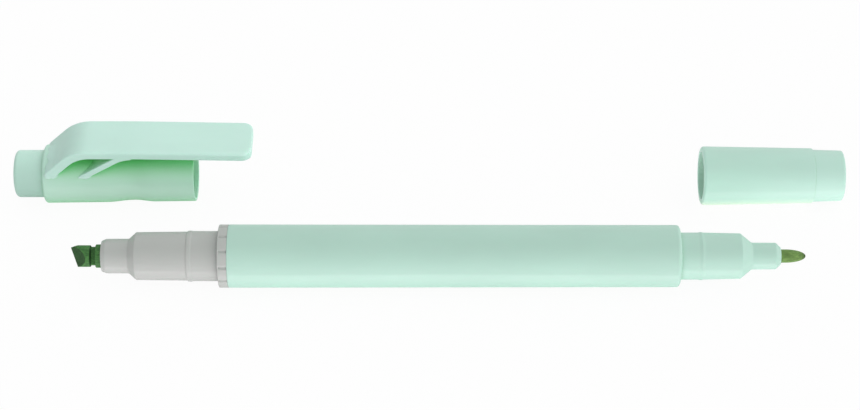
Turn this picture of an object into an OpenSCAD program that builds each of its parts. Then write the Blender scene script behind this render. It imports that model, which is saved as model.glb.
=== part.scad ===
// Twin-tip highlighter, laid out open: the pen, with its two caps beside it.
// Millimetres. +X runs along the pen to the fine tip, +Z is up, z = 0 is the surface that it lies on,
// and the origin is the middle of the whole set on that surface.

/* [Layout] */
// Overall length of the set, from the clip cap's closed end to the fine cap's closed end
set_len = 151.8; // [145:0.1:180]
// Distance between the pen's axis and the clip cap's axis, seen from above
clip_cap_pitch = 21.2; // [14:0.1:60]
// Distance between the pen's axis and the fine cap's axis, seen from above
fine_cap_pitch = 20.6; // [14:0.1:60]
// Where the barrel's open end stands along X
barrel_x = -35.45; // [-40:0.05:-30]

/* [Barrel] */
// Length of the barrel's tube, from its open end to the shoulder at the fine nose
barrel_len = 79.7; // [60:0.1:110]
// Outer radius at the open end
barrel_r = 5.6; // [5.5:0.05:8]
// Outer radius at the shoulder
barrel_end_r = 5.5; // [5.4:0.05:8]
// Wall of the tube at its open end
barrel_wall = 1.15; // [0.8:0.05:1.3]
// Rounding of the shoulder's edge
barrel_edge = 0.6; // [0.2:0.05:1]
// Thickness of the wall behind the shoulder
barrel_end_wall = 1.5; // [1:0.1:3]
// Number of ribs that hold the ink reservoir in the middle of the tube
rib_count = 6; // [3:1:8]
// Thickness of a rib
rib_w = 0.7; // [0.4:0.1:1.2]

/* [Fine nose] */
// Outer radius of the nose next to the shoulder
nose_r = 4.17; // [3.8:0.01:4.6]
// Outer radius of the snap bead that holds the fine cap
nose_bead_r = 4.27; // [3.9:0.01:4.7]
// Distance from the shoulder to the middle of the bead
nose_bead_at = 3.8; // [2:0.1:6]
// Length of the bead
nose_bead_w = 0.9; // [0.4:0.1:1.5]
// Outer radius where the nose's cone begins
nose_front_r = 4.02; // [3.6:0.01:4.5]
// Distance from the shoulder to the cone
nose_len = 10.8; // [8:0.1:16]
// Length of the cone
nose_cone_len = 2.0; // [1:0.1:4]
// Outer radius of the snout that holds the fine nib
snout_r = 2.38; // [2:0.01:3]
// Length of the snout
snout_len = 5.1; // [3:0.1:8]
// Length and depth of the chamfer at the snout's end
snout_chamfer = 0.8; // [0.2:0.05:0.9]
// Wall of the nose
nose_wall = 1.0; // [0.7:0.05:1.4]

/* [Chisel section] */
// Width of the notched ring that the clip cap stops on
ring_w = 1.65; // [1:0.05:4]
// Rounding of the ring's edge
ring_edge = 0.5; // [0.1:0.05:0.8]
// Number of notches round the ring
notch_count = 12; // [6:1:24]
// Width of a notch
notch_w = 0.55; // [0.2:0.05:1]
// Depth of a notch
notch_depth = 0.25; // [0.1:0.05:0.5]
// Turn of the first notch round the axis, in degrees
notch_turn = 6.2; // [0:0.1:30]
// Outer radius of the seat next to the ring
seat_r = 4.44; // [4.1:0.01:4.9]
// Outer radius of the snap bead that holds the clip cap
bead_r = 4.52; // [4.2:0.01:5]
// Distance from the ring to the middle of the bead
bead_at = 5.2; // [3:0.05:8]
// Length of the bead
bead_w = 0.5; // [0.3:0.05:1]
// Outer radius just in front of the bead
waist_r = 4.34; // [4:0.01:4.8]
// Outer radius where the section's cone begins
waist_front_r = 4.24; // [3.9:0.01:4.7]
// Distance from the ring to the cone
waist_len = 14.7; // [10:0.05:20]
// Length of the cone
section_cone_len = 1.3; // [0.8:0.1:4]
// Outer radius of the nib holder behind
holder_r = 3.07; // [3:0.01:4]
// Outer radius of the nib holder where its chamfer begins
holder_front_r = 3.05; // [2.9:0.01:4]
// Length of the nib holder
holder_len = 4.8; // [3:0.1:8]
// Outer radius of the nib holder's face
holder_face_r = 2.75; // [2.3:0.01:3]
// Length of the chamfer at the nib holder's face
holder_chamfer = 0.8; // [0.3:0.05:2]
// Wall of the section in front of the ring
section_wall = 1.0; // [0.7:0.05:1.4]
// Length of the plug behind the ring, inside the barrel
plug_len = 8.5; // [5:0.1:15]
// Chamfer at the plug's end
plug_chamfer = 0.6; // [0.2:0.1:1.2]

/* [Nibs] */
// Radius of the chisel nib's head
chisel_r = 1.92; // [1.6:0.01:2.2]
// Distance from the nib holder's face to the chisel's long point
chisel_reach = 5.65; // [4:0.05:9]
// How far the short corner stands back from the long point
chisel_slant = 1.4; // [0.3:0.1:2]
// Length of the two bevels, measured back from the writing edge
chisel_bevel = 2.0; // [1:0.05:2.5]
// Thickness of the writing edge
chisel_edge = 0.5; // [0.2:0.05:1]
// Distance from the nib holder's face to the head's back
head_back = 2.03; // [1.8:0.01:2.6]
// Distance from the nib holder's face to the axis that the neck bends about
neck_at = 1.55; // [1.3:0.05:1.7]
// Width of the neck along that axis
neck_w = 3.3; // [2:0.1:3.4]
// Thickness of the neck
neck_t = 1.5; // [1:0.05:1.8]
// Radius of the collar that seats on the nib holder's face
collar_r = 2.07; // [1.9:0.01:2.4]
// Thickness of the collar
collar_t = 1.05; // [0.6:0.05:1.25]
// Radius of the chisel nib's shank
shank_r = 1.6; // [1.3:0.01:1.8]
// Radius of the fine nib
fine_r = 1.18; // [0.8:0.01:1.4]
// Distance from the snout's end to the fine nib's point
fine_reach = 4.5; // [4:0.1:7]
// Length of the fine nib's rounded point
fine_point = 3.6; // [2:0.1:3.9]
// Depth that each nib reaches into the ink reservoir
nib_dip = 6; // [3:0.1:12]

/* [Ink] */
// Thickness of the film round the reservoir
film_t = 0.12; // [0.08:0.01:0.3]
// Height of the barrel's ribs, which sets the reservoir's radius
rib_h = 0.4; // [0.2:0.05:0.8]
// Gap at each end of the reservoir
ink_gap = 0.4; // [0.1:0.1:2]

/* [Clip cap] */
// Length of the clip cap, from its mouth to its closed end
clip_cap_len = 33.0; // [31:0.1:40]
// Length of the stub at its closed end
stub_len = 5.4; // [3:0.1:8]
// Outer radius of the stub
stub_r = 4.35; // [4:0.01:4.5]
// Rounding of the stub's end
stub_edge = 0.7; // [0.2:0.05:1]
// Outer radius of the cap's body at its back edge
clip_cap_r = 5.4; // [5.3:0.05:7]
// Rounding of the body's back edge
clip_cap_edge = 0.85; // [0.2:0.05:0.95]
// Outer radius at the mouth
mouth_r = 5.05; // [5:0.05:7]
// Depth of the finger waist in the body
waist_dip = 0.36; // [0:0.02:0.45]
// Distance from the mouth to the waist's middle
waist_at = 11.3; // [8:0.1:14]
// Length of the waist's slope towards the mouth
waist_short = 4.0; // [2:0.1:6]
// Length of the waist's slope towards the closed end
waist_long = 5.2; // [3:0.1:8]
// Depth of the wide bore that takes the section's bead
bead_bore_len = 6.5; // [6:0.1:9]
// Length of the liner's head, which stops on a step inside the cap
liner_head = 2.5; // [1:0.1:5]
// Thickness of each cap's closed end
cap_end_wall = 1.2; // [0.8:0.1:2.5]

/* [Clip] */
// Width of the clip where it leaves the cap
clip_w = 8.75; // [5:0.05:9]
// Width of the clip at its tip
clip_tip_w = 8.7; // [4:0.1:9]
// Height of the clip's top face over the cap's axis
clip_h = 9.3; // [9:0.1:14]
// Thickness of the clip
clip_t = 1.75; // [1.2:0.05:2.6]
// How far the free part drops towards its tip
clip_drop = 0.45; // [0:0.05:0.8]
// Distance that the clip reaches past the mouth
clip_over = 10.8; // [0:0.1:16]
// Radius of the tip's corners, seen from above
clip_corner = 1.8; // [0.4:0.1:3]
// Steepness of the arm's outer side, in degrees
arm_angle = 45; // [40:1:60]
// Height over the cap's axis at which the arm's outer side starts
arm_back_h = 3.63; // [3.2:0.01:4.5]
// Rounding of the heel, where the arm's outer side turns down into the body
arm_heel_r = 2; // [0.5:0.1:2.5]
// Steepness of the arm's inner side, in degrees
arm_inner_angle = 45; // [32:1:50]
// Radius of the bend between the arm and the clip's top face
arm_bend_r = 7; // [4:0.1:9]
// Radius of the bend between the arm and the clip's underside
arm_inner_r = 5.3; // [2:0.1:6]
// Distance along the body from its back edge to the arm's inner side
arm_foot = 2.52; // [1.2:0.02:4]
// Distance from the body's back edge to the strut's foot
strut_at = 6.58; // [5:0.01:12]
// Thickness of the strut, measured along the cap
strut_w = 2.1; // [1:0.1:4]
// Steepness of the strut, in degrees
strut_angle = 33.3; // [25:0.1:50]
// Radius of the fillet between the strut and the free part of the clip
strut_fillet = 5.5; // [1:0.1:7]

/* [Fine cap] */
// Length of the fine cap, from its mouth to its closed end
fine_cap_len = 25.9; // [25:0.1:34]
// Length of the plug's head at its closed end
tail_len = 5.55; // [3:0.1:9]
// Outer radius of the shell at its mouth
fine_cap_r = 5.41; // [5.3:0.01:7]
// Outer radius of the shell where the plug's head begins
fine_cap_end_r = 5.05; // [5:0.01:7]
// Rounding of the mouth's outer edge
fine_cap_edge = 0.65; // [0.1:0.05:0.7]
// Outer radius of the plug's head next to the shell
tail_r = 4.79; // [4.6:0.01:5]
// Outer radius of the plug's head at its end
tail_end_r = 4.62; // [4.2:0.01:4.9]
// Rounding of the plug's end
tail_edge = 0.35; // [0.1:0.05:0.8]
// Length of the plug's grip inside the shell
grip_len = 4; // [2:0.1:7]
// Radius that the grip has over the cap's bore
grip_step = 0.17; // [0.05:0.01:0.3]
// Wall of the sleeve that seals round the snout
sleeve_wall = 0.9; // [0.6:0.05:1.2]

/* [Fits] */
// Radial clearance of a cap's bore over the snap bead and the body that it slides on
cap_fit = 0.1; // [0.04:0.01:0.3]
// Radial clearance of a liner's bore over the nib holder or the snout that it seals on
seal_fit = 0.04; // [0.02:0.01:0.2]
// Radial clearance of pieces that are pushed together for good
push_fit = 0.02; // [0.01:0.01:0.1]
// Clearance round the neck's knuckle
neck_fit = 0.08; // [0.05:0.01:0.15]
// Clearance that a liner's front leaves to the cone behind the nib holder or the snout
liner_gap = 0.5; // [0.3:0.1:2]

/* [Hidden] */

MINT = [0.74, 0.90, 0.84];
GREY = [0.74, 0.75, 0.75];
INK = [0.25, 0.48, 0.22];
FIBRE = [0.55, 0.80, 0.50];
FILM = [0.85, 0.92, 0.88];

ROUND = 96;       // fineness of a full turn
ARC = 8;          // steps in a drawn arc
OVER = 1;         // how far a cutting solid runs past the face that it cuts
LOOK_DOWN = 45;   // turn of the chisel's edge round the pen's axis

// The two lanes that the set lies in.
lay_depth = barrel_r + clip_cap_pitch + clip_cap_r;
pen_y = barrel_r - lay_depth / 2;
clip_cap_y = pen_y + clip_cap_pitch;
fine_cap_y = pen_y + fine_cap_pitch;

// The barrel's inside.
bore_r = barrel_r - barrel_wall;
bore_len = barrel_len - barrel_end_wall;
nose_end = nose_len + nose_cone_len + snout_len;
nose_bore_end = barrel_len + nose_len - nose_wall;

// The chisel section, measured from the barrel's open end towards the chisel tip.
section_cone_at = ring_w + waist_len;
holder_at = section_cone_at + section_cone_len;
holder_face = holder_at + holder_len;
bead_from = ring_w + bead_at;

// The ink reservoir and the nibs that dip into it, measured from the barrel's open end.
film_r = bore_r - rib_h - push_fit;
reservoir_r = film_r - film_t - push_fit;
reservoir_from = plug_len + ink_gap;
reservoir_to = bore_len - ink_gap;
fine_end = barrel_len + nose_end + fine_reach;
neck_gap_r = neck_t / 2 + neck_fit;

// The caps' bores and liners; a liner's front is measured from its cap's closed end.
bead_bore_r = bead_r + cap_fit;
slide_bore_r = waist_r + cap_fit;
clip_liner_from = clip_cap_len - waist_len - section_cone_len - liner_gap;
clip_liner_r = holder_r + seal_fit;
liner_stop = clip_liner_from - liner_head;
nose_bore_r = nose_bead_r + cap_fit / 2;
fine_liner_from = fine_cap_len - nose_len - nose_cone_len - liner_gap;
fine_liner_r = snout_r + seal_fit;
grip_r = nose_bore_r + grip_step;

// The clip, in the cap's own frame: x from the closed end to the mouth, z up from the cap's axis.
foot_h = sqrt(pow(clip_cap_r, 2) - pow(clip_w / 2, 2));
root_z = foot_h - 0.6;
clip_low = clip_h - clip_t;
clip_tip = clip_cap_len + clip_over;
arm_bend_z = clip_h - arm_bend_r;
arm_back = stub_len + clip_cap_edge / 3;
arm_heel_z = arm_back_h - arm_heel_r * tan(45 - arm_angle / 2);
arm_bend_x = arm_back + (arm_bend_z + arm_bend_r * cos(arm_angle) - arm_back_h) / tan(arm_angle)
    + arm_bend_r * sin(arm_angle);
arm_inner_z = clip_low - arm_inner_r;
arm_inner_foot = stub_len + arm_foot;
arm_inner_x = arm_inner_foot
    + (arm_inner_z + arm_inner_r * cos(arm_inner_angle) - foot_h) / tan(arm_inner_angle)
    + arm_inner_r * sin(arm_inner_angle);
strut_foot = stub_len + strut_at;
strut_run = (clip_low - foot_h) / tan(strut_angle);
strut_top = strut_foot + strut_run;
fillet_reach = strut_fillet * tan(strut_angle / 2);
blade_root = strut_top + strut_w + fillet_reach;

// Points of an arc, from one angle to another.
function arc(x, y, r, from, to) =
    [for (i = [0:ARC]) let (a = from + (to - from) * i / ARC) [x + r * cos(a), y + r * sin(a)]];

// Outer radius of the clip cap's body at a distance u from its mouth.
function waist_shape(t) = (1 + cos(180 * t)) / 2;
function cap_body_r(u) =
    let (slope = u < waist_at ? waist_short : waist_long)
    let (t = min(1, abs(u - waist_at) / slope))
    let (straight = mouth_r + (clip_cap_r - mouth_r) * u / (clip_cap_len - stub_len))
    straight - waist_dip * waist_shape(t);
function waist_point(u) = [cap_body_r(u), clip_cap_len - u];

// A solid turned about X from points [radius, station]; dir = -1 turns the stations towards -X.
module turned(points, dir = 1)
    rotate([0, 90, 0]) rotate_extrude($fn = ROUND) polygon([for (p = points) [p[0], dir * p[1]]]);

// A round bar along X from one station to another.
module bar(r, from, to)
    translate([from, 0, 0]) rotate([0, 90, 0]) cylinder(r = r, h = to - from, $fn = ROUND);

// Places: the barrel's open end, and the closed end of each cap.
module at_pen() translate([barrel_x, pen_y, barrel_r]) children();
module at_clip_cap() translate([-set_len / 2, clip_cap_y, clip_cap_r]) children();
module at_fine_cap() translate([set_len / 2, fine_cap_y, fine_cap_r]) children();

// Barrel with the fine nose moulded in one.
module barrel() color(MINT) at_pen() {
    nose = barrel_len;
    cone = nose + nose_len;
    snout = cone + nose_cone_len;
    end = snout + snout_len;
    difference() {
        turned([
            [0, 0], [barrel_r, 0],
            each arc(barrel_end_r - barrel_edge, nose - barrel_edge, barrel_edge, 0, 90),
            [nose_r, nose], [nose_r, nose + nose_bead_at - nose_bead_w / 2],
            [nose_bead_r, nose + nose_bead_at], [nose_r, nose + nose_bead_at + nose_bead_w / 2],
            [nose_front_r, cone], [snout_r, snout], [snout_r, end - snout_chamfer],
            [snout_r - snout_chamfer, end], [0, end]
        ]);
        bar(bore_r, -OVER, bore_len);
        bar(nose_front_r - nose_wall, bore_len - OVER, nose_bore_end);
        bar(fine_r + push_fit, nose_bore_end - OVER, end + OVER);
    }
    // The ribs end clear of the section's plug and start on the tube's wall.
    for (i = [0:rib_count - 1])
        rotate([i * 360 / rib_count, 0, 0])
            translate([reservoir_from, -rib_w / 2, bore_r - rib_h])
                cube([bore_len - reservoir_from, rib_w, rib_h + barrel_wall / 2]);
}

// Nib holder with its notched ring, and the plug that is pushed into the barrel.
module chisel_section() color(GREY) at_pen() difference() {
    turned([
        [0, -plug_len], [bore_r - push_fit - plug_chamfer / 2, -plug_len],
        [bore_r - push_fit, plug_chamfer - plug_len], [bore_r - push_fit, 0],
        [barrel_r, 0], each arc(barrel_r - ring_edge, ring_w - ring_edge, ring_edge, 0, 90),
        [seat_r, ring_w], [seat_r, bead_from - bead_w], [bead_r, bead_from - bead_w / 2],
        [bead_r, bead_from + bead_w / 2], [waist_r, bead_from + bead_w],
        [waist_front_r, section_cone_at], [holder_r, holder_at],
        [holder_front_r, holder_face - holder_chamfer], [holder_face_r, holder_face],
        [0, holder_face]
    ], -1);
    bar(shank_r + push_fit, -holder_face - OVER, plug_len + OVER);
    bar(waist_front_r - section_wall, -section_cone_at + section_wall, plug_len + OVER);
    for (i = [0:notch_count - 1])
        rotate([notch_turn + i * 360 / notch_count, 0, 0])
            translate([-ring_w + ring_edge / 2, barrel_r - notch_depth, -notch_w / 2])
                cube([ring_w - ring_edge / 2, OVER, notch_w]);
}

// The chisel nib's place: the nib holder's face, with local X pointing out to the tip, local Z along
// the writing edge's axis and local Y through the bevels.
module at_chisel() at_pen() translate([-holder_face, 0, 0]) rotate([-LOOK_DOWN, 0, 0]) mirror([1, 0, 0])
    children();

// Rear part of the chisel nib: shank, collar and the rounded neck that the tip bends on.
module chisel_shank() color(INK) at_chisel() {
    bar(shank_r, -holder_face - reservoir_from - nib_dip, 0);
    bar(collar_r, 0, collar_t);
    translate([collar_t, -neck_t / 2, -neck_w / 2]) cube([neck_at - collar_t, neck_t, neck_w]);
    translate([neck_at, 0, -neck_w / 2]) cylinder(d = neck_t, h = neck_w, $fn = ROUND);
}

// Front part of the chisel nib: a round head with two bevels, hollowed behind for the neck.
module chisel_tip() color(INK) at_chisel() difference() {
    intersection() {
        bar(chisel_r, head_back, chisel_reach);
        translate([chisel_reach - chisel_slant / 2, 0, 0])
            rotate([0, atan(chisel_slant / (2 * chisel_r)), 0])
                translate([0, 0, -chisel_reach])
                    linear_extrude(2 * chisel_reach)
                        polygon([
                            [0, -chisel_edge / 2], [0, chisel_edge / 2], [-chisel_bevel, chisel_r],
                            [-chisel_reach, chisel_r], [-chisel_reach, -chisel_r],
                            [-chisel_bevel, -chisel_r]
                        ]);
    }
    translate([neck_at, 0, -neck_w]) cylinder(r = neck_gap_r, h = 2 * neck_w, $fn = ROUND);
}

// Bullet nib with a long shank that dips into the reservoir.
module fine_nib() color(INK) at_pen() {
    point = fine_end - fine_point;
    turned([
        [0, reservoir_to - nib_dip], [fine_r, reservoir_to - nib_dip],
        for (i = [0:2 * ARC]) let (a = 45 * i / ARC) [fine_r * cos(a), point + fine_point * sin(a)]
    ]);
}

// Fibre rod that holds the ink, with a hole at each end for a nib.
module ink_reservoir() color(FIBRE) at_pen() difference() {
    bar(reservoir_r, reservoir_from, reservoir_to);
    bar(shank_r + push_fit, reservoir_from - OVER, reservoir_from + nib_dip);
    bar(fine_r + push_fit, reservoir_to - nib_dip, reservoir_to + OVER);
}

// Thin film sleeve round the fibre rod.
module reservoir_film() color(FILM) at_pen() difference() {
    bar(film_r, reservoir_from, reservoir_to);
    bar(film_r - film_t, reservoir_from - OVER, reservoir_to + OVER);
}

// Side view of the arm and the clip up to its free part.
module arm_outline()
    polygon(concat(
        [[arm_back, min(root_z, arm_heel_z)]],
        arc(arm_back + arm_heel_r, arm_heel_z, arm_heel_r, 180, 90 + arm_angle),
        arc(arm_bend_x, arm_bend_z, arm_bend_r, 90 + arm_angle, 90),
        [[blade_root, clip_h], [blade_root, clip_low]],
        arc(arm_inner_x, arm_inner_z, arm_inner_r, 90, 90 + arm_inner_angle),
        [[arm_inner_foot - (foot_h - root_z) / tan(arm_inner_angle), root_z]]
    ));

// Side view of the strut, with the fillet on the side of the free part.
module strut_outline() {
    down = (foot_h - root_z) / tan(strut_angle);
    top = strut_top + strut_w;
    polygon(concat(
        [
            [strut_foot - down, root_z], [strut_top, clip_low],
            [strut_top, clip_low + strut_w / 4], [blade_root, clip_low + strut_w / 4]
        ],
        arc(top + fillet_reach, clip_low - strut_fillet, strut_fillet, 90, 90 + strut_angle),
        [[strut_foot + strut_w - down, root_z]]
    ));
}

// Plan of the clip: a slow taper with rounded corners at the tip.
module clip_plan() {
    half = clip_w / 2;
    tip_half = clip_tip_w / 2;
    polygon(concat(
        [[stub_len - OVER, -half], [arm_bend_x, -half]],
        arc(clip_tip - clip_corner, clip_corner - tip_half, clip_corner, -90, 0),
        arc(clip_tip - clip_corner, tip_half - clip_corner, clip_corner, 0, 90),
        [[arm_bend_x, half], [stub_len - OVER, half]]
    ));
}

// A side view given the clip's width and plan.
module clip_solid()
    intersection() {
        translate([0, clip_w / 2, 0]) rotate([90, 0, 0]) linear_extrude(clip_w) children();
        linear_extrude(clip_h + OVER) clip_plan();
    }

// Clip cap: the tube, the arm and the strut in one moulding.
module clip_cap() color(MINT) at_clip_cap() difference() {
    union() {
        turned([
            [0, stub_len],
            each arc(clip_cap_r - clip_cap_edge, stub_len + clip_cap_edge, clip_cap_edge, -90, 0),
            for (i = [0:ARC]) waist_point(waist_at + waist_long * (1 - i / ARC)),
            for (i = [1:ARC]) waist_point(waist_at - waist_short * i / ARC),
            [mouth_r, clip_cap_len], [0, clip_cap_len]
        ]);
        clip_solid() {
            arm_outline();
            strut_outline();
        }
    }
    bar(stub_r + push_fit, stub_len - OVER, clip_cap_len);
    bar(slide_bore_r, liner_stop, clip_cap_len);
    bar(bead_bore_r, clip_cap_len - bead_bore_len, clip_cap_len + OVER);
}

// Free part of the clip, which springs away from the body at the strut's top.
module clip_blade() color(MINT) at_clip_cap()
    clip_solid() polygon([
        [blade_root, clip_low], [blade_root, clip_h], [clip_tip, clip_h - clip_drop],
        [clip_tip, clip_low - clip_drop]
    ]);

// Closed liner pushed into the clip cap through its mouth; its stub is the cap's closed end.
module clip_cap_plug() color(MINT) at_clip_cap() difference() {
    turned([
        [0, 0], each arc(stub_r - stub_edge, stub_edge, stub_edge, -90, 0), [stub_r, liner_stop],
        [slide_bore_r - push_fit, liner_stop], [slide_bore_r - push_fit, clip_liner_from],
        [0, clip_liner_from]
    ]);
    bar(clip_liner_r, cap_end_wall, clip_cap_len);
}

// Fine cap's shell, measured from its closed end towards its mouth.
module fine_cap() color(MINT) at_fine_cap() difference() {
    turned([
        [0, tail_len], [fine_cap_end_r, tail_len],
        each arc(fine_cap_r - fine_cap_edge, fine_cap_len - fine_cap_edge, fine_cap_edge, 0, 90),
        [0, fine_cap_len]
    ], -1);
    bar(nose_bore_r, -fine_cap_len - OVER, -tail_len + OVER);
    bar(grip_r + push_fit, -fine_liner_from - liner_gap, -tail_len + OVER);
}

// Closed liner pressed into the fine cap from behind; its head is the cap's closed end.
module fine_cap_plug() color(MINT) at_fine_cap() difference() {
    turned([
        [0, 0], each arc(tail_end_r - tail_edge, tail_edge, tail_edge, -90, 0), [tail_r, tail_len],
        [grip_r, tail_len], [grip_r, tail_len + grip_len],
        [fine_liner_r + sleeve_wall, tail_len + grip_len],
        [fine_liner_r + sleeve_wall, fine_liner_from], [0, fine_liner_from]
    ], -1);
    bar(fine_liner_r, -fine_cap_len, -cap_end_wall);
}

barrel();
chisel_section();
chisel_shank();
chisel_tip();
fine_nib();
ink_reservoir();
reservoir_film();
clip_cap();
clip_blade();
clip_cap_plug();
fine_cap();
fine_cap_plug();
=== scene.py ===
"""Looks of the laid-out highlighter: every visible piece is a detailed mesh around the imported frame.

Lengths below are millimetres in the row frame, and turn into metres where a mesh is made.
"""

import math

import bmesh
import bpy
import numpy as np
from mathutils import Matrix, Vector


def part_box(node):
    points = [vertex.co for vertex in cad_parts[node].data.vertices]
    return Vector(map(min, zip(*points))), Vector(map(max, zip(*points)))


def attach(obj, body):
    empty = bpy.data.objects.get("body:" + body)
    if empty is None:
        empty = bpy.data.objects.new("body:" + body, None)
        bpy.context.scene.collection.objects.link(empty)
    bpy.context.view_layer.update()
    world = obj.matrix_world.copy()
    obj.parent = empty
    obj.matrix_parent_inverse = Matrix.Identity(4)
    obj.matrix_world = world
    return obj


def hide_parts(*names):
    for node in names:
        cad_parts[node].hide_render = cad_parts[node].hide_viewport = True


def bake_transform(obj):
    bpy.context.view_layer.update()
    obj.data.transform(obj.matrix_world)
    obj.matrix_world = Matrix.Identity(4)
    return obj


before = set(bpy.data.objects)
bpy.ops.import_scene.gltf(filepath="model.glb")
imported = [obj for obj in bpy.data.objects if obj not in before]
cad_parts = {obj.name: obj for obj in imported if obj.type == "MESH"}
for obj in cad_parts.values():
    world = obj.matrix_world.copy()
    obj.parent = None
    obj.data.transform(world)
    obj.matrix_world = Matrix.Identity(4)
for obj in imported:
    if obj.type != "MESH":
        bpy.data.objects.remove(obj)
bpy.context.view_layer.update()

MM = 0.001
SPINS = 144  # segments in a full turn
ARC_STEPS = 6  # segments in a rounded corner


# ---------------------------------------------------------------- places, from the frame


def box_mm(node):
    """Lowest and highest corner of a CAD node, in millimetres."""
    low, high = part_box(node)
    return [v / MM for v in low], [v / MM for v in high]


def lane_of(node):
    """Height and depth of a turned node's axis: (y, z)."""
    low, high = box_mm(node)
    return (low[1] + high[1]) / 2, (low[2] + high[2]) / 2


PEN = lane_of("barrel")
CLIP_CAP = lane_of("clip_cap_plug")
FINE_CAP = lane_of("fine_cap_plug")
BARREL_X = box_mm("barrel")[0][0]
NOSE_END = box_mm("barrel")[1][0]
HOLDER_FACE, PLUG_END = box_mm("chisel_section")[0][0], box_mm("chisel_section")[1][0]
CHISEL_POINT = box_mm("chisel_tip")[0][0]
SHANK_END = box_mm("chisel_shank")[1][0]
FINE_START, FINE_POINT = box_mm("fine_nib")[0][0], box_mm("fine_nib")[1][0]
CLIP_END = box_mm("clip_cap_plug")[0][0]
CLIP_MOUTH = box_mm("clip_cap")[1][0]
BLADE_ROOT, BLADE_TIP = box_mm("clip_blade")[0][0], box_mm("clip_blade")[1][0]
CLIP_TOP = box_mm("clip_cap")[1][2]
FINE_MOUTH = box_mm("fine_cap")[0][0]
FINE_STEP = box_mm("fine_cap")[1][0]
FINE_END = box_mm("fine_cap_plug")[1][0]
BARREL_R = PEN[1]  # the pen lies on z = 0


# ---------------------------------------------------------------- mesh making


def rounded(corners, closed=True, steps=ARC_STEPS):
    """An outline from corners (x, r, rounding): each corner with a rounding becomes an arc."""
    points = []
    count = len(corners)
    for i, corner in enumerate(corners):
        here = Vector(corner[:2])
        radius = corner[2] if len(corner) > 2 else 0
        if radius <= 0 or (not closed and i in (0, count - 1)):
            points.append(here)
            continue
        before = Vector(corners[i - 1][:2])
        after = Vector(corners[(i + 1) % count][:2])
        come, go = here - before, after - here
        limit = 0.48 * min(come.length, go.length)
        come.normalize()
        go.normalize()
        turn = come.angle(go)
        if turn < 0.01:
            points.append(here)
            continue
        reach = min(radius * math.tan(turn / 2), limit)
        radius = reach / math.tan(turn / 2)
        side = (go - come * math.cos(turn)).normalized()
        centre = here - come * reach + side * radius
        for k in range(steps + 1):
            a = turn * k / steps
            points.append(centre - side * radius * math.cos(a) + come * radius * math.sin(a))
    return [(p.x, p.y) for p in points]


def new_object(name, vertices, faces):
    """A mesh object from vertices in millimetres, with its faces turned outwards."""
    mesh = bpy.data.meshes.new(name)
    mesh.from_pydata([[c * MM for c in v] for v in vertices], [], faces)
    bm = bmesh.new()
    bm.from_mesh(mesh)
    bmesh.ops.remove_doubles(bm, verts=bm.verts, dist=1e-7)
    bmesh.ops.recalc_face_normals(bm, faces=bm.faces)
    bm.to_mesh(mesh)
    bm.free()
    obj = bpy.data.objects.new(name, mesh)
    bpy.context.scene.collection.objects.link(obj)
    return obj


def lathe(name, outline, lane, angles=None, reshape=None):
    """A solid turned about X through lane (y, z) from a closed outline of (x, r) points.

    Angles run from +Y towards +Z. reshape(x, r, angle) may change a point's radius.
    """
    angles = angles or [2 * math.pi * k / SPINS for k in range(SPINS)]
    vertices, rings, faces = [], [], []
    for x, r in outline:
        if r < 1e-6:
            rings.append([len(vertices)] * len(angles))
            vertices.append((x, lane[0], lane[1]))
            continue
        rings.append(range(len(vertices), len(vertices) + len(angles)))
        for a in angles:
            radius = reshape(x, r, a) if reshape else r
            vertices.append((x, lane[0] + radius * math.cos(a), lane[1] + radius * math.sin(a)))
    for k, ring in enumerate(rings):
        following = rings[(k + 1) % len(rings)]
        for j in range(len(angles)):
            i = (j + 1) % len(angles)
            corners = [ring[j], ring[i], following[i], following[j]]
            face = [c for n, c in enumerate(corners) if c not in corners[:n]]
            if len(face) > 2:
                faces.append(face)
    return new_object(name, vertices, faces)


def loft(name, sections, offset):
    """A closed solid through sections that all have the same number of points."""
    vertices = [tuple(c + o for c, o in zip(p, offset)) for s in sections for p in s]
    size = len(sections[0])
    faces = [list(range(size)), list(range(len(vertices) - size, len(vertices)))]
    for k in range(len(sections) - 1):
        for j in range(size):
            i = (j + 1) % size
            a, b = k * size, (k + 1) * size
            faces.append([a + j, a + i, b + i, b + j])
    return new_object(name, vertices, faces)


def applied(obj):
    """The object with its modifiers made part of its mesh."""
    graph = bpy.context.evaluated_depsgraph_get()
    mesh = bpy.data.meshes.new_from_object(obj.evaluated_get(graph))
    obj.modifiers.clear()
    obj.data = mesh
    return obj


def combine(obj, other, operation):
    """Joins obj with other, or cuts other out of it, and removes other."""
    change = obj.modifiers.new("combine", "BOOLEAN")
    change.operation = operation
    change.object = other
    change.solver = "EXACT"
    bpy.context.view_layer.update()
    applied(obj)
    bpy.data.objects.remove(other)
    return obj


def soften(obj, width, segments, angle):
    """Rounds the edges sharper than an angle, for good."""
    change = obj.modifiers.new("soften", "BEVEL")
    change.width = width * MM
    change.segments = segments
    change.limit_method = "ANGLE"
    change.angle_limit = math.radians(angle)
    change.harden_normals = False
    return applied(obj)


def dress(obj, material, sharp=38):
    """Gives a piece its material and smooth shading that keeps the sharp edges."""
    obj.data.materials.clear()
    obj.data.materials.append(material)
    obj.data.polygons.foreach_set("use_smooth", [True] * len(obj.data.polygons))
    obj.data.set_sharp_from_angle(angle=math.radians(sharp))
    even = obj.modifiers.new("even_normals", "WEIGHTED_NORMAL")
    even.keep_sharp = True
    even.weight = 90
    return obj


# ---------------------------------------------------------------- materials


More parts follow.
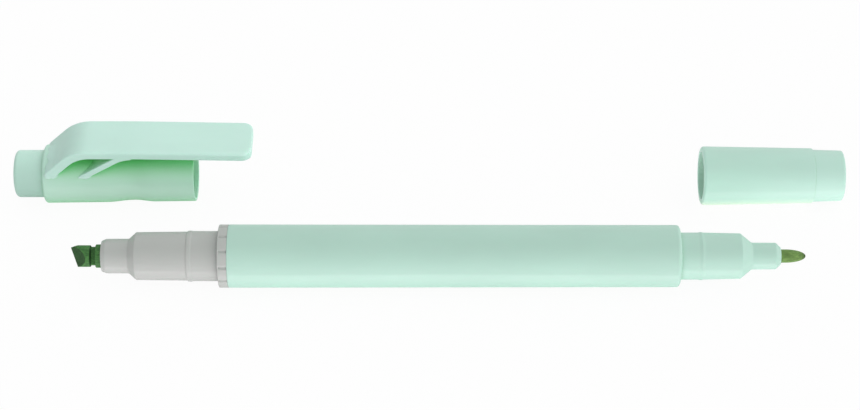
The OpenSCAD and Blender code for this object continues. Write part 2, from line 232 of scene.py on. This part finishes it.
class Nodes:
    """Short calls for building a material's node tree."""

    def __init__(self, name):
        self.material = bpy.data.materials.new(name)
        self.material.use_nodes = True
        self.tree = self.material.node_tree
        self.shader = self.tree.nodes["Principled BSDF"]

    def add(self, kind, inputs=None, **settings):
        node = self.tree.nodes.new("ShaderNode" + kind)
        for key, value in settings.items():
            setattr(node, key, value)
        for key, value in (inputs or {}).items():
            self.put(node.inputs[key], value)
        return node

    def put(self, socket, value):
        if isinstance(value, bpy.types.NodeSocket):
            self.tree.links.new(value, socket)
        elif isinstance(value, bpy.types.Node):
            self.tree.links.new(value.outputs[0], socket)
        else:
            socket.default_value = value

    def place(self, stretch=(1, 1, 1)):
        """The piece's own coordinates in metres, stretched."""
        where = self.add("TexCoord").outputs["Object"]
        return self.add("Mapping", {"Vector": where, "Scale": stretch}).outputs[0]

    def noise(self, scale, detail=2.0, stretch=(1, 1, 1)):
        return self.add(
            "TexNoise", {"Vector": self.place(stretch), "Scale": scale, "Detail": detail}
        ).outputs["Fac"]

    def ramp(self, value, low, high, to_low=0.0, to_high=1.0):
        return self.add(
            "MapRange",
            {"Value": value, "From Min": low, "From Max": high, "To Min": to_low, "To Max": to_high},
        ).outputs[0]

    def mix(self, factor, a, b, blend="MIX"):
        node = self.add("Mix", data_type="RGBA", blend_type=blend)
        self.put(node.inputs[0], factor)
        self.put(node.inputs[6], a)
        self.put(node.inputs[7], b)
        return node.outputs[2]

    def bump(self, height, distance, strength=1.0, under=None):
        inputs = {"Height": height, "Distance": distance, "Strength": strength}
        if under is not None:
            inputs["Normal"] = under
        return self.add("Bump", inputs).outputs[0]

    def set(self, **values):
        for key, value in values.items():
            self.put(self.shader.inputs[key.replace("_", " ")], value)


def colour(red, green, blue):
    """A linear colour from display values of 0 to 255."""

    def line(v):
        v = v / 255
        return v / 12.92 if v <= 0.04045 else ((v + 0.055) / 1.055) ** 2.4

    return (line(red), line(green), line(blue), 1.0)


SKIN_GLOW = 0.18


def moulded_plastic(name, base, painted_hollow_colour, reach, open_at=0.75, lift=0.0):
    """Satin polypropylene: fine moulded grain, faint flow marks, and a colour painted where neighbours are
    near, in crevices and under other parts: painted shade on most pieces, painted light inside the fine cap.

    reach is how far off, in millimetres, a neighbour brings in that painted colour, and lift turns that
    search upwards.
    """
    n = Nodes(name)
    flow = n.ramp(n.noise(180, 3, (0.35, 1, 1)), 0.3, 0.7)
    shade = tuple(c * 0.955 for c in base[:3]) + (1.0,)
    tone = n.mix(flow, base, shade)
    # painted shade: ambient occlusion mixes the painted hollow colour in near neighbours; lift turns the
    # search upwards
    facing = n.add("VectorMath", {0: n.add("NewGeometry").outputs["Normal"], 1: (0, 0, lift)})
    search = {"Distance": reach * MM, "Normal": facing}
    open_sky = n.add("AmbientOcclusion", search, samples=8).outputs["AO"]
    painted_hollow_mask = n.ramp(open_sky, 0.15, open_at, 1.0, 0.0)
    tone = n.mix(painted_hollow_mask, tone, painted_hollow_colour)
    grain = n.noise(9000, 2)
    waves = n.noise(700, 2)
    bumped = n.bump(grain, 0.000012, 0.35, n.bump(waves, 0.00003, 0.25))
    rough = n.ramp(n.noise(1500, 2), 0.3, 0.7, 0.40, 0.50)
    n.set(Base_Color=tone, Roughness=rough, Normal=bumped, IOR=1.49, Specular_IOR_Level=0.7)
    n.set(Subsurface_Weight=SKIN_GLOW, Subsurface_Radius=(0.6, 1.0, 0.8), Subsurface_Scale=0.0012)
    return n.material


def ink_felt(name, light, dark, stretch, scale):
    """Porous nib: fine fibres along its length, wet with ink, and painted shade on the faces that look along
    the nib, its cut end and bevels.
    """
    n = Nodes(name)
    fibres = n.noise(scale, 4, stretch)
    blotch = n.ramp(n.noise(900, 3), 0.35, 0.65)
    tone = n.mix(n.ramp(fibres, 0.35, 0.65), dark, light)
    wet = tuple(c * 0.72 for c in dark[:3]) + (1.0,)
    tone = n.mix(n.ramp(blotch, 0, 1, 0.0, 0.35), tone, wet)
    # painted shade: faces that look along the nib, its cut end and bevels, are darkened
    along = n.add("SeparateXYZ", {0: n.add("NewGeometry").outputs["Normal"]}).outputs["X"]
    painted_shade_facing = n.add("Math", {0: along}, operation="ABSOLUTE")
    cut = n.ramp(painted_shade_facing, 0.25, 0.65, 0.0, 0.85)
    tone = n.mix(cut, tone, tuple(c * 0.4 for c in dark[:3]) + (1.0,))
    pores = n.noise(scale * 2.5, 3)
    bumped = n.bump(pores, 0.00004, 0.5, n.bump(fibres, 0.00006, 0.6))
    n.set(Base_Color=tone, Roughness=0.62, Normal=bumped, Specular_IOR_Level=0.35)
    n.set(Subsurface_Weight=0.15, Subsurface_Radius=(0.3, 1.0, 0.35), Subsurface_Scale=0.0006)
    return n.material


def fibre_rod(name):
    """Bundled fibres of the ink reservoir, running along the pen."""
    n = Nodes(name)
    strands = n.noise(5000, 3, (0.03, 1, 1))
    tone = n.mix(n.ramp(strands, 0.3, 0.7), colour(110, 190, 105), colour(160, 222, 140))
    n.set(Base_Color=tone, Roughness=0.85, Normal=n.bump(strands, 0.0001, 0.8))
    return n.material


def thin_film(name):
    """Clear wrap with long soft wrinkles."""
    n = Nodes(name)
    wrinkles = n.noise(900, 3, (0.2, 1, 1))
    tone = n.mix(wrinkles, colour(214, 235, 224), colour(228, 244, 236))
    n.set(Base_Color=tone, Roughness=0.18, Normal=n.bump(wrinkles, 0.00015, 0.5), Alpha=0.45)
    return n.material


# painted shade: darker mint for the barrel's and liners' crevices
PAINTED_SHADE_MINT = colour(105, 175, 115)
PLASTIC = moulded_plastic("barrel_mint", colour(181, 218, 203), PAINTED_SHADE_MINT, 2.5)
# painted shadow: saturated green under the clip, in its window and on the cap's body beneath it
PAINTED_SHADOW_GREEN = colour(105, 214, 120)
# painted light: a pale colour that lightens the fine cap's hollow inside
PAINTED_LIGHT_MINT = colour(230, 248, 220)
# painted light: the clip's base is a little lighter than the tube it is moulded with
CLIP_PLASTIC = moulded_plastic("clip_mint_painted_light", colour(190, 225, 213), PAINTED_SHADOW_GREEN, 5, 0.6)
CAP_PLASTIC = moulded_plastic("cap_mint", colour(186, 224, 209), PAINTED_LIGHT_MINT, 8)
# lift 0.8 aims the painted shadow search upwards, so the clip above darkens the body under it
TUBE_PLASTIC = moulded_plastic("clip_cap_mint", colour(184, 222, 206), PAINTED_SHADOW_GREEN, 8, 0.9, 0.8)
LINER_PLASTIC = moulded_plastic("liner_mint", colour(188, 225, 211), PAINTED_SHADE_MINT, 2.5)
# the second colour is painted shade in the section's crevices
GREY_PLASTIC = moulded_plastic("section_grey", colour(182, 186, 182), colour(128, 134, 134), 2.5)
CHISEL_FELT = ink_felt(
    "chisel_felt", colour(82, 140, 70), colour(50, 100, 48), (0.25, 1, 1), 7000
)
FINE_FELT = ink_felt("fine_felt", colour(134, 172, 92), colour(86, 120, 58), (0.08, 1, 1), 9000)


# ---------------------------------------------------------------- pen


def barrel():
    """The tube with the fine nose, hollow inside."""
    shoulder = BARREL_X + 79.7
    bore, nose_bore, nib_bore = 4.45, 3.02, 1.2
    outline = rounded([
        (BARREL_X, bore, 0.1),
        (BARREL_X, BARREL_R, 0.1),
        (shoulder, 5.5, 0.6),
        (shoulder, 4.17, 0.2),
        (shoulder + 3.3, 4.17, 0.5),
        (shoulder + 3.8, 4.27, 0.4),
        (shoulder + 4.3, 4.16, 0.5),
        (shoulder + 10.8, 4.02, 0.35),
        (shoulder + 12.8, 2.38, 0.5),
        (NOSE_END - 0.85, 2.36, 0.5),
        (NOSE_END, 1.58, 0.15),
        (NOSE_END, nib_bore, 0.05),
        (shoulder + 9.8, nib_bore),
        (shoulder + 9.8, nose_bore),
        (shoulder - 1.5, nose_bore),
        (shoulder - 1.5, bore),
    ])
    piece = lathe("barrel_body", outline, PEN)
    dress(piece, PLASTIC)
    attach(piece, "pen")
    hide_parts("barrel")
    return piece


def notch_angles(count, turn, half_width):
    """Angles round the ring, close together across each notch and evenly spaced between."""
    angles = []
    step = 360 / count
    across = [k / 5 for k in range(-5, 6)]
    for k in range(count):
        middle = turn + k * step
        angles += [middle + half_width * a for a in across]
        start, end = half_width * across[-1], step - half_width * across[-1]
        angles += [middle + start + (end - start) * i / 8 for i in range(1, 8)]
    return [math.radians(a) for a in angles]


def chisel_section():
    """The grey nib holder, with its notched ring and its plug in the barrel."""
    notches, turn, depth, half_width = 12, 6.2, 0.24, 4.2
    ring_face = BARREL_X - 1.65
    notch_front = ring_face + 0.28

    def notched(x, r, angle):
        if x < notch_front or x > BARREL_X + 0.01 or r < 5.0:
            return r
        off = (math.degrees(angle) - turn + 180 / notches) % (360 / notches) - 180 / notches
        return r - depth * (1 + math.cos(math.pi * min(1, abs(off) / half_width))) / 2

    outline = rounded([
        (PLUG_END, 3.24),
        (PLUG_END, 4.13),
        (PLUG_END - 0.6, 4.43),
        (BARREL_X, 4.43),
        (BARREL_X, BARREL_R, 0.06),
        (notch_front + 0.12, BARREL_R),
        (notch_front, BARREL_R),
        (ring_face, BARREL_R, 0.5),
        (ring_face, 4.44, 0.15),
        (BARREL_X - 6.35, 4.44, 0.3),
        (BARREL_X - 6.6, 4.52, 0.15),
        (BARREL_X - 7.1, 4.52, 0.15),
        (BARREL_X - 7.35, 4.34, 0.25),
        (BARREL_X - 16.35, 4.24, 0.3),
        (BARREL_X - 17.65, 3.07, 0.4),
        (HOLDER_FACE + 0.8, 3.05, 0.25),
        (HOLDER_FACE, 2.75, 0.2),
        (HOLDER_FACE, 1.64, 0.08),
        (BARREL_X - 15.35, 1.64),
        (BARREL_X - 15.35, 3.24),
    ])
    piece = lathe("section_body", outline, PEN, notch_angles(notches, turn, half_width), notched)
    dress(piece, GREY_PLASTIC)
    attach(piece, "pen")
    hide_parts("chisel_section")
    return piece


def chisel_nib():
    """The bending chisel nib: a turned blank with a flattened neck, cut to its slanted, bevelled edge.

    It is made lying along X with its face at 0, the writing edge along Y and the bevels across Z.
    """
    reach, slant, bevel_len, edge_half = HOLDER_FACE - CHISEL_POINT, 1.4, 2.0, 0.25
    head, collar, neck, neck_half = 1.92, 2.07, 1.65, 0.75
    collar_end, head_start, slope = 1.05, 2.05, 0.18
    waist = [collar_end + slope + 0.08 * k for k in range(9)]

    def flattened(x, r, angle):
        out = -x
        if not collar_end < out < head_start:
            return r
        share = min(1, (out - collar_end) / slope, (head_start - out) / slope)
        half = head + (neck_half - head) * share
        return min(r, half / max(abs(math.sin(angle)), 1e-6))

    outline = rounded([
        (HOLDER_FACE - SHANK_END, 0),
        (HOLDER_FACE - SHANK_END, 1.6, 0.1),
        (0.02, 1.6),
        (0, collar, 0.12),
        (collar_end, collar, 0.12),
        (collar_end + 0.06, neck + 0.06),
        *[(out, neck) for out in waist],
        (head_start - 0.1, neck + 0.06),
        (head_start, head, 0.12),
        (head_start + 0.6, head),
        (head_start + 1.4, head),
        (reach + 0.5, head),
        (reach + 0.5, 0),
    ])
    piece = lathe("chisel_nib", [(-x, r) for x, r in outline], (0, 0), reshape=flattened)

    tilt = math.atan2(slant, 2 * head)
    end = Vector((-math.cos(tilt), -math.sin(tilt), 0))
    end_at = Vector((-(reach - slant / 2), 0, 0))
    cuts = [(end_at, end)]
    rise = math.atan2(head - edge_half, bevel_len)
    for side in (-1, 1):
        out = end * math.sin(rise) + Vector((0, 0, side)) * math.cos(rise)
        cuts.append((end_at + Vector((0, 0, side * edge_half)), out))
    cuts.append((Vector((-reach, 1.47, 0)), Vector((-0.4, 1.2, 0)).normalized()))
    bm = bmesh.new()
    bm.from_mesh(piece.data)
    for place, normal in cuts:
        everything = list(bm.verts) + list(bm.edges) + list(bm.faces)
        cut = bmesh.ops.bisect_plane(
            bm, geom=everything, plane_co=place * MM, plane_no=normal, clear_outer=True, dist=1e-8
        )
        rim = [e for e in cut["geom_cut"] if isinstance(e, bmesh.types.BMEdge)]
        bmesh.ops.edgeloop_fill(bm, edges=rim)
    bmesh.ops.recalc_face_normals(bm, faces=bm.faces)
    bmesh.ops.rotate(bm, verts=bm.verts, matrix=Matrix.Rotation(math.radians(45), 3, "X"))
    bmesh.ops.translate(bm, verts=bm.verts, vec=Vector((HOLDER_FACE, *PEN)) * MM)
    bm.to_mesh(piece.data)
    bm.free()
    soften(piece, 0.07, 2, 28)
    dress(piece, CHISEL_FELT, 32)
    applied(piece)
    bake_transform(piece)
    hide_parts("chisel_shank", "chisel_tip")
    return piece


def fine_nib():
    """The bullet nib: a long rod of pressed fibre with a rounded point."""
    radius, point = 1.18, 3.6
    outline = [(FINE_START, 0), (FINE_START, radius), (NOSE_END - 0.1, radius)]
    for k in range(25):
        a = math.pi / 2 * k / 24
        outline.append((FINE_POINT - point + point * math.sin(a), radius * math.cos(a)))
    piece = lathe("fine_nib_rod", outline, PEN, [2 * math.pi * k / 64 for k in range(64)])
    dress(piece, FINE_FELT)
    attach(piece, "pen")
    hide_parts("fine_nib")
    return piece


# ---------------------------------------------------------------- clip cap


TUBE_BACK, TUBE_MOUTH_R = 5.4, 5.05  # where the clip cap's body starts, and its radius at the mouth
WAIST, WAIST_BACK, WAIST_FRONT = 21.7, 5.2, 4.0  # the finger waist's middle and its two slopes


def tube_radius(u):
    """Outer radius of the clip cap's body at a distance u from the cap's closed end."""
    share = min(1, abs(u - WAIST) / (WAIST_BACK if u < WAIST else WAIST_FRONT))
    taper = (CLIP_CAP[1] - TUBE_MOUTH_R) * (u - TUBE_BACK) / (CLIP_MOUTH - CLIP_END - TUBE_BACK)
    return CLIP_CAP[1] - taper - 0.36 * (1 + math.cos(math.pi * share)) / 2


def clip_cap_tube():
    """The clip cap's body with its finger waist, and its stepped bore."""
    stations = np.arange(WAIST - WAIST_BACK, WAIST + WAIST_FRONT, 0.25)
    outline = rounded([
        (CLIP_END + TUBE_BACK, 4.37),
        (CLIP_END + TUBE_BACK, CLIP_CAP[1], 0.85),
        *[(CLIP_END + u, tube_radius(u)) for u in stations],
        (CLIP_MOUTH, TUBE_MOUTH_R, 0.14),
        (CLIP_MOUTH, 4.62, 0.14),
        (CLIP_END + 26.5, 4.62),
        (CLIP_END + 26.3, 4.44),
        (CLIP_END + 14.0, 4.44),
        (CLIP_END + 14.0, 4.37),
    ])
    piece = lathe("clip_cap_tube", outline, CLIP_CAP)
    dress(piece, TUBE_PLASTIC)
    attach(piece, "clip_cap_body")
    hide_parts("clip_cap")
    return piece


def clip_cap_liner():
    """The closed liner: its stub is the cap's narrow end."""
    outline = rounded([
        (CLIP_END, 0),
        (CLIP_END, 4.35, 0.7),
        (CLIP_END + 14.0, 4.35),
        (CLIP_END + 14.0, 4.42),
        (CLIP_END + 16.5, 4.42, 0.15),
        (CLIP_END + 16.5, 3.11, 0.25),
        (CLIP_END + 1.2, 3.11, 0.4),
        (CLIP_END + 1.2, 0),
    ])
    piece = lathe("clip_cap_liner", outline, CLIP_CAP)
    dress(piece, LINER_PLASTIC)
    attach(piece, "clip_cap_body")
    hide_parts("clip_cap_plug")
    return piece


CLIP_T = 1.75  # thickness of the clip
CLIP_HALF = 4.375  # half its width
FILLET = 0.3  # between the clip's feet and the cap's body


def melt_into_body(points, valley=0.0):
    """Spreads a bar's section where it nears the cap's body, and ends it inside the cap's wall.

    Points are (u, y, z, push_u, push_y, push_z): a place and its outward direction. valley slides the
    middle of the outer side back along the body, so that it rises from the body in a wide fillet.
    """
    melted = []
    for u, y, z, *push in points:
        skin = tube_radius(u)
        over = math.hypot(y, z) - skin
        gap = max(0, over)
        flare = fillet_at(gap, FILLET)
        if push[0] < -0.3:
            flare = 0
            slide = 1.4 * fillet_at(gap, valley) * math.cos(math.pi / 2 * y / CLIP_HALF) ** 2
            u = max(u - slide, min(u, TUBE_BACK + 0.35))
        u, y, z = (c + flare * p for c, p in zip((u, y, z), push))
        radius = math.hypot(y, z)
        if over < 0:
            kept = min(max(radius, skin - 0.5), skin - 0.06)
            y, z = y * kept / radius, z * kept / radius
        melted.append((u, y, z))
    return melted


def fillet_at(gap, radius):
    """How far a round fillet stands off the wall at a height over the floor that it ends on."""
    if gap >= radius:
        return 0
    return radius - math.sqrt(radius**2 - (radius - gap) ** 2)


def bar_section(outer, inner, half, edge, steps=4, fill=5):
    """A bar's section with rounded edges between two side-view points, with outward directions."""
    outer, inner = Vector(outer), Vector(inner)
    depth = (outer - inner).length
    across = (outer - inner) / depth
    edge = min(edge, 0.49 * depth, 0.98 * half)
    middle = (outer + inner) / 2
    points = []
    corners = ((1, 1, 0), (-1, 1, 90), (-1, -1, 180), (1, -1, 270))
    for n, (side_y, side_t, start) in enumerate(corners):
        for k in range(steps + 1):
            a = math.radians(start + 90 * k / steps)
            out_y, out_t = math.cos(a), math.sin(a)
            y = side_y * (half - edge) + edge * out_y
            t = side_t * (depth / 2 - edge) + edge * out_t
            points.append((y, t, out_y, out_t))
        following = corners[(n + 1) % 4]
        last = points[-1]
        goal_y = following[0] * (half - edge) + edge * math.cos(math.radians(following[2]))
        goal_t = following[1] * (depth / 2 - edge) + edge * math.sin(math.radians(following[2]))
        for k in range(1, fill):
            share = k / fill
            y, t = last[0] + (goal_y - last[0]) * share, last[1] + (goal_t - last[1]) * share
            points.append((y, t, last[2], last[3]))
    result = []
    for y, t, out_y, out_t in points:
        at, push = middle + across * t, across * out_t
        result.append((at.x, y, at.y, push.x, out_y, push.y))
    return result


def clip_sections():
    """Sections along the clip's strip: the arm from the body, the bend, and the long free part."""
    top = CLIP_TOP - CLIP_CAP[1]
    low, edge, drop = top - CLIP_T, 0.42, 0.45
    root, tip = BLADE_ROOT - CLIP_END, BLADE_TIP - CLIP_END
    tip_half, corner = 4.35, 1.8
    bend_u, bend_r, inner_u, inner_r = 14.25, 7.0, 14.5, 5.3
    heel_r, heel_u, heel_z = 2.0, 5.7, 2.82
    slope = math.radians(45)

    def arc_point(centre, radius, angle):
        return Vector((centre[0] + radius * math.cos(angle), centre[1] + radius * math.sin(angle)))

    outer, inner = [], []
    for k in range(7):
        outer.append(arc_point((heel_u + heel_r, heel_z), heel_r, math.pi - slope * k / 6))
    bend_start = arc_point((bend_u, top - bend_r), bend_r, math.pi - slope)
    outer += [outer[-1].lerp(bend_start, k / 12) for k in range(1, 12)]
    turns = [math.pi / 2 + slope * (1 - k / 14) for k in range(15)]
    outer += [arc_point((bend_u, top - bend_r), bend_r, turn) for turn in turns]
    bend_start = arc_point((inner_u, low - inner_r), inner_r, math.pi - slope)
    foot = Vector((bend_start.x - bend_start.y + 2.6, 2.6))
    inner += [foot.lerp(bend_start, k / 18) for k in range(18)]
    inner += [arc_point((inner_u, low - inner_r), inner_r, turn) for turn in turns]

    sections = [melt_into_body(bar_section(a, b, CLIP_HALF, edge), 1.1) for a, b in zip(outer, inner)]

    def free(u, inset=0.0, corner_half=None):
        share = max(0, (u - root) / (tip - root))
        width = CLIP_HALF + (tip_half - CLIP_HALF) * max(0, (u - bend_u) / (tip - bend_u))
        width = min(width, corner_half) if corner_half else width
        upper, lower = top - drop * share - inset, low - drop * share + inset
        section = bar_section((u, upper), (u, lower), width - inset, edge)
        return [point[:3] for point in section]

    straight_end = tip - corner
    first = inner_u + 0.1
    for k in range(40):
        sections.append(free(first + (straight_end - first) * k / 39))
    for k in range(1, 9):
        a = math.radians(72 * k / 8)
        sections.append(free(straight_end + corner * math.sin(a),
                             corner_half=tip_half - corner + corner * math.cos(a)))
    last_half = tip_half - corner + corner * math.cos(math.radians(72))
    last_u = straight_end + corner * math.sin(math.radians(72))
    for k in range(1, 6):
        a = math.pi / 2 * k / 5
        run = tip - last_u
        sections.append(free(last_u + run * math.sin(a), 0.25 * (1 - math.cos(a)),
                             last_half - 0.45 * (1 - math.cos(a))))
    return sections


def strut_sections():
    """Sections of the strut, from inside the body's wall to inside the free part."""
    low = CLIP_TOP - CLIP_CAP[1] - CLIP_T
    top_u, width, slope, fillet = 18.655, 2.1, math.radians(33.3), 5.5
    fillet_u = top_u + width + fillet * math.tan(slope / 2)
    start = 2.7
    heights = [start + (low - 0.1 - start) * k / 30 for k in range(31)] + [low - 0.05, low - 0.01]
    sections = []
    for z in heights + [low + 0.3]:
        rear = top_u + (z - low) / math.tan(slope)
        front = rear + width
        if z > low - fillet * (1 - math.cos(slope)):
            rise = min(z, low) - (low - fillet)
            front = fillet_u - math.sqrt(max(0, fillet**2 - rise**2))
        sections.append(melt_into_body(bar_section((front, z), (rear, z), CLIP_HALF - 0.02, 0.25)))
    return sections


def pocket_clip():
    """The clip: arm, strut and free part in one piece."""
    offset = (CLIP_END, *CLIP_CAP)
    piece = loft("pocket_clip", clip_sections(), offset)
    combine(piece, loft("strut", strut_sections(), offset), "UNION")
    dress(piece, CLIP_PLASTIC, 30)
    applied(piece)
    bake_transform(piece)
    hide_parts("clip_blade")
    return piece


# ---------------------------------------------------------------- fine cap


def fine_cap_shell():
    """The fine cap's tapered shell."""
    bore_end = FINE_MOUTH + 12.8
    outline = rounded([
        (FINE_MOUTH, 4.32, 0.12),
        (FINE_MOUTH, 5.41, 0.65),
        (FINE_STEP, 5.05, 0.16),
        (FINE_STEP, 4.51),
        (bore_end, 4.51),
        (bore_end, 4.32),
    ])
    piece = lathe("fine_cap_shell", outline, FINE_CAP)
    dress(piece, CAP_PLASTIC)
    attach(piece, "fine_cap_body")
    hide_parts("fine_cap")
    return piece


def fine_cap_liner():
    """The fine cap's closed liner: its head is the cap's stepped end."""
    grip_end, sleeve_end = FINE_STEP - 4.0, FINE_MOUTH + 13.3
    outline = rounded([
        (FINE_END, 0),
        (FINE_END, 4.62, 0.35),
        (FINE_STEP, 4.79, 0.08),
        (FINE_STEP, 4.49),
        (grip_end, 4.49, 0.1),
        (grip_end, 3.32),
        (sleeve_end, 3.32, 0.15),
        (sleeve_end, 2.42, 0.15),
        (FINE_END - 1.2, 2.42, 0.3),
        (FINE_END - 1.2, 0),
    ])
    piece = lathe("fine_cap_liner", outline, FINE_CAP)
    dress(piece, LINER_PLASTIC)
    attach(piece, "fine_cap_body")
    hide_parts("fine_cap_plug")
    return piece


def ink():
    """The reservoir and its film keep their CAD shapes and get their own materials."""
    for node, material in (("ink_reservoir", fibre_rod("ink_fibre")), ("reservoir_film", thin_film("film"))):
        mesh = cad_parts[node].data
        mesh.materials.clear()
        mesh.materials.append(material)


PEN_PIECES = [barrel(), chisel_section(), chisel_nib(), fine_nib()]
FINE_CAP_PIECES = [fine_cap_shell(), fine_cap_liner()]
CLIP_CAP_PIECES = [clip_cap_tube(), clip_cap_liner(), pocket_clip()]
ink()


# ---------------------------------------------------------------- stage


def sky():
    """Even studio light; a white room for the camera and for reflections."""
    world = bpy.data.worlds.new("studio")
    bpy.context.scene.world = world
    world.use_nodes = True
    tree = world.node_tree
    out = tree.nodes["World Output"]
    light = tree.nodes["Background"]
    light.inputs["Color"].default_value = (1, 1, 1, 1)
    where = tree.nodes.new("ShaderNodeTexCoord")
    split = tree.nodes.new("ShaderNodeSeparateXYZ")
    level = tree.nodes.new("ShaderNodeMapRange")
    tree.links.new(where.outputs["Generated"], split.inputs[0])
    tree.links.new(split.outputs["X"], level.inputs["Value"])
    for socket, value in zip(("From Min", "From Max", "To Min", "To Max"), (-1, 1, 0.42, 1.36)):
        level.inputs[socket].default_value = value
    tree.links.new(level.outputs[0], light.inputs["Strength"])
    white = tree.nodes.new("ShaderNodeBackground")
    white.inputs["Color"].default_value = (1, 1, 1, 1)
    white.inputs["Strength"].default_value = 1.0
    path = tree.nodes.new("ShaderNodeLightPath")
    either = tree.nodes.new("ShaderNodeMath")
    either.operation = "MAXIMUM"
    tree.links.new(path.outputs["Is Camera Ray"], either.inputs[0])
    tree.links.new(path.outputs["Is Transmission Ray"], either.inputs[1])
    join = tree.nodes.new("ShaderNodeMixShader")
    tree.links.new(either.outputs[0], join.inputs[0])
    tree.links.new(light.outputs[0], join.inputs[1])
    tree.links.new(white.outputs[0], join.inputs[2])
    tree.links.new(join.outputs[0], out.inputs["Surface"])


def lamp(name, direction, size, power, tint, lit):
    """A softbox 0.7 m away in a direction, which lights only the pieces in lit."""
    data = bpy.data.lights.new(name, "AREA")
    data.shape = "RECTANGLE"
    data.size, data.size_y = size
    data.energy = power
    data.color = tint
    obj = bpy.data.objects.new(name, data)
    bpy.context.scene.collection.objects.link(obj)
    towards = Vector(direction).normalized()
    obj.location = towards * 0.7
    obj.rotation_mode = "QUATERNION"
    obj.rotation_quaternion = (-towards).to_track_quat("-Z", "Y")
    group = bpy.data.collections.new(name + "_lights")
    for piece in lit:
        group.objects.link(piece)
    obj.light_linking.receiver_collection = group
    obj.light_linking.blocker_collection = group


def floor():
    """A white table that keeps a faint shadow."""
    bpy.ops.mesh.primitive_plane_add(size=6)
    table = bpy.context.object
    table.name = "table"
    n = Nodes("table_white")
    n.set(Base_Color=n.mix(n.noise(40), (0.92, 0.92, 0.92, 1), (0.93, 0.93, 0.93, 1)), Roughness=0.9)
    glow = n.add("Emission", {"Color": (1, 1, 1, 1), "Strength": 1.0})
    path = n.add("LightPath")
    seen = n.add("Math", {0: path.outputs["Is Camera Ray"], 1: 0.95}, operation="MULTIPLY")
    join = n.add("MixShader")
    n.put(join.inputs[0], seen.outputs[0])
    n.put(join.inputs[1], n.shader.outputs[0])
    n.put(join.inputs[2], glow.outputs[0])
    n.put(n.tree.nodes["Material Output"].inputs["Surface"], join.outputs[0])
    table.data.materials.append(n.material)


def camera():
    """The photograph's view: level along the pen, 45 degrees down."""
    data = bpy.data.cameras.new("camera")
    data.sensor_width = 36
    data.lens = 87.9
    obj = bpy.data.objects.new("camera", data)
    bpy.context.scene.collection.objects.link(obj)
    target = Vector((0.15, 2.285, 5.6))
    down = math.radians(45)
    back = Vector((0, -math.cos(down), math.sin(down)))
    obj.location = (target + back * 380.9) * MM
    obj.rotation_euler = (math.pi / 2 - down, 0, 0)
    bpy.context.scene.camera = obj


sky()
floor()
FRONT_LOW = (0, -1, -0.7)
WIDE = (1.2, 0.5)
NEUTRAL = (1.0, 0.97, 0.99)
ROSY = (1.0, 0.91, 0.96)
lamp("pen_bounce", FRONT_LOW, WIDE, 4.4, ROSY, PEN_PIECES)
lamp("cap_bounce", FRONT_LOW, WIDE, 5.2, ROSY, FINE_CAP_PIECES)
lamp("cap_mouth", (-1, -0.1, 0.25), (0.4, 0.4), 0.8, NEUTRAL, FINE_CAP_PIECES)
lamp("key", (0.9, 0.6, 0.7), (1.0, 0.6), 2.1, NEUTRAL, CLIP_CAP_PIECES)
lamp("clip_fill", (0.2, -1, 0.15), WIDE, 1.7, NEUTRAL, CLIP_CAP_PIECES[2:])
lamp("tube_fill", (0.2, -1, -0.5), WIDE, 2.2, (1.0, 0.92, 0.85), CLIP_CAP_PIECES[:1])
camera()
bpy.context.scene.view_settings.view_transform = "Standard"
